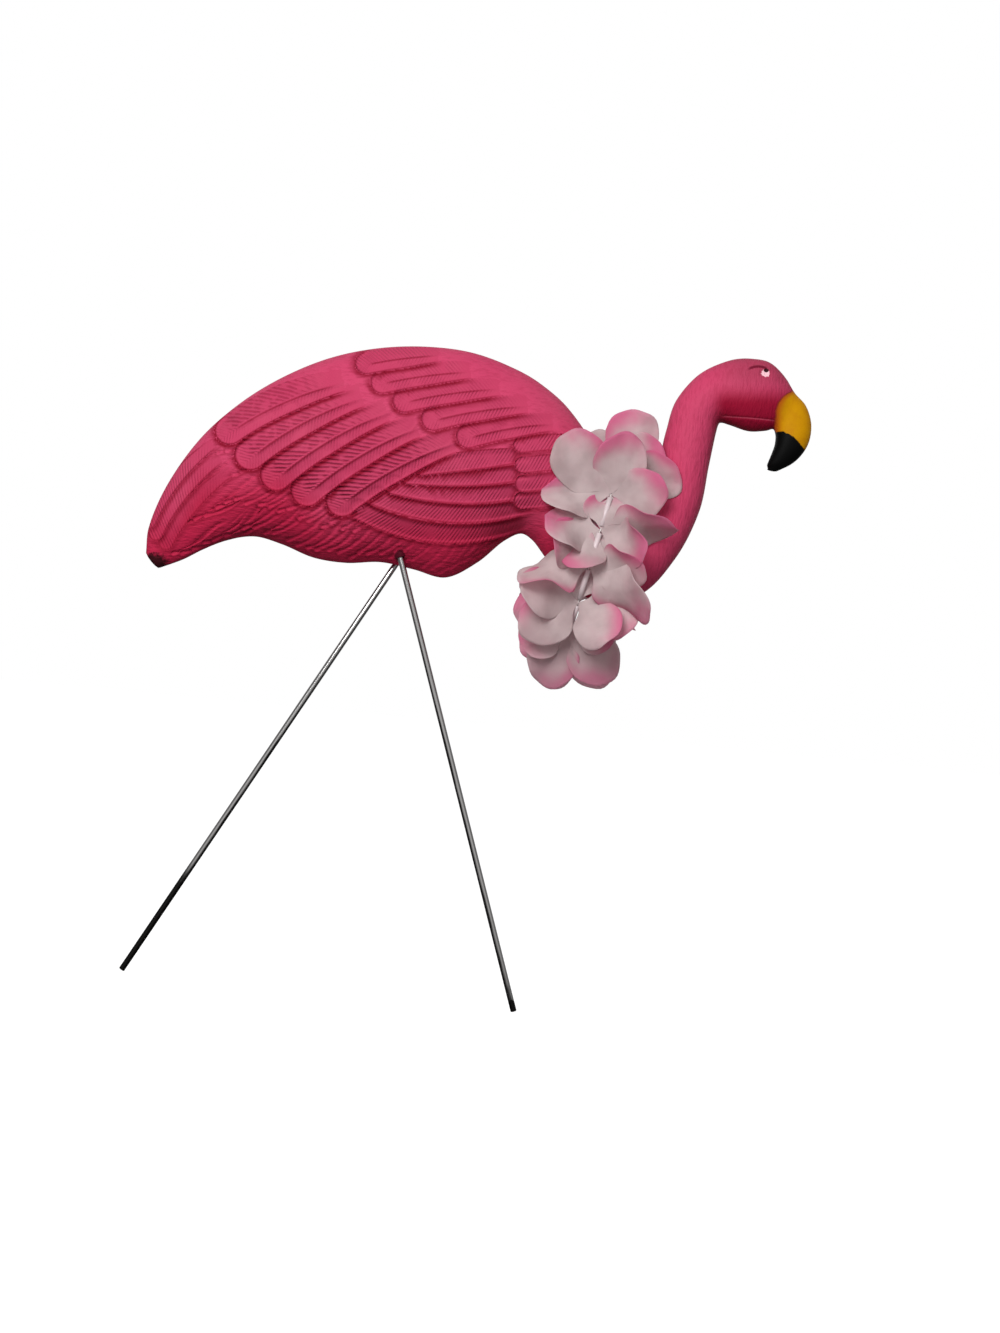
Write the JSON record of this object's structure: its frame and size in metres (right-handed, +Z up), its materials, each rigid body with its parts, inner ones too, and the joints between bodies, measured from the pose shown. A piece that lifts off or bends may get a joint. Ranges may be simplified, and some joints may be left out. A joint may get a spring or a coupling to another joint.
{
  "type": "pink flamingo lawn ornament",
  "caption": "Pink flamingo lawn ornament with moulded feathers, a yellow and black beak, thin steel rod legs and a cloth blossom garland round its neck.",
  "frame": {"origin": "on the ground, midway between the feet of the two leg rods, in the bird's plane of symmetry", "axes": "+X towards the head, +Y away from the near side that the picture shows, +Z up out of the ground"},
  "size_m": [0.6707, 0.2036, 0.6914],
  "materials": {
    "bird_plastic": "soft satin pink polyethylene with a painted beak and eyes",
    "leg_steel": "bright drawn steel rod with dark ends",
    "blossom_cloth": "thin white cloth dyed pink towards the rims",
    "spacer_tube": "translucent white tube"
  },
  "bodies": {
    "root": {"flamingo": "bird_plastic", "leg_rear": "leg_steel", "leg_front": "leg_steel", "lei_blossom_01": "blossom_cloth", "lei_blossom_02": "blossom_cloth", "lei_blossom_03": "blossom_cloth", "lei_blossom_04": "blossom_cloth", "lei_blossom_05": "blossom_cloth", "lei_blossom_06": "blossom_cloth", "lei_blossom_07": "blossom_cloth", "lei_blossom_08": "blossom_cloth", "lei_blossom_09": "blossom_cloth", "lei_blossom_10": "blossom_cloth", "lei_blossom_11": "blossom_cloth", "lei_blossom_12": "blossom_cloth", "lei_spacer_01": "spacer_tube", "lei_spacer_02": "spacer_tube", "lei_spacer_03": "spacer_tube", "lei_spacer_04": "spacer_tube", "lei_spacer_05": "spacer_tube", "lei_spacer_06": "spacer_tube", "lei_spacer_07": "spacer_tube", "lei_spacer_08": "spacer_tube", "lei_spacer_09": "spacer_tube", "lei_spacer_10": "spacer_tube", "lei_spacer_11": "spacer_tube", "lei_spacer_12": "spacer_tube"}
  },
  "joints": []
}
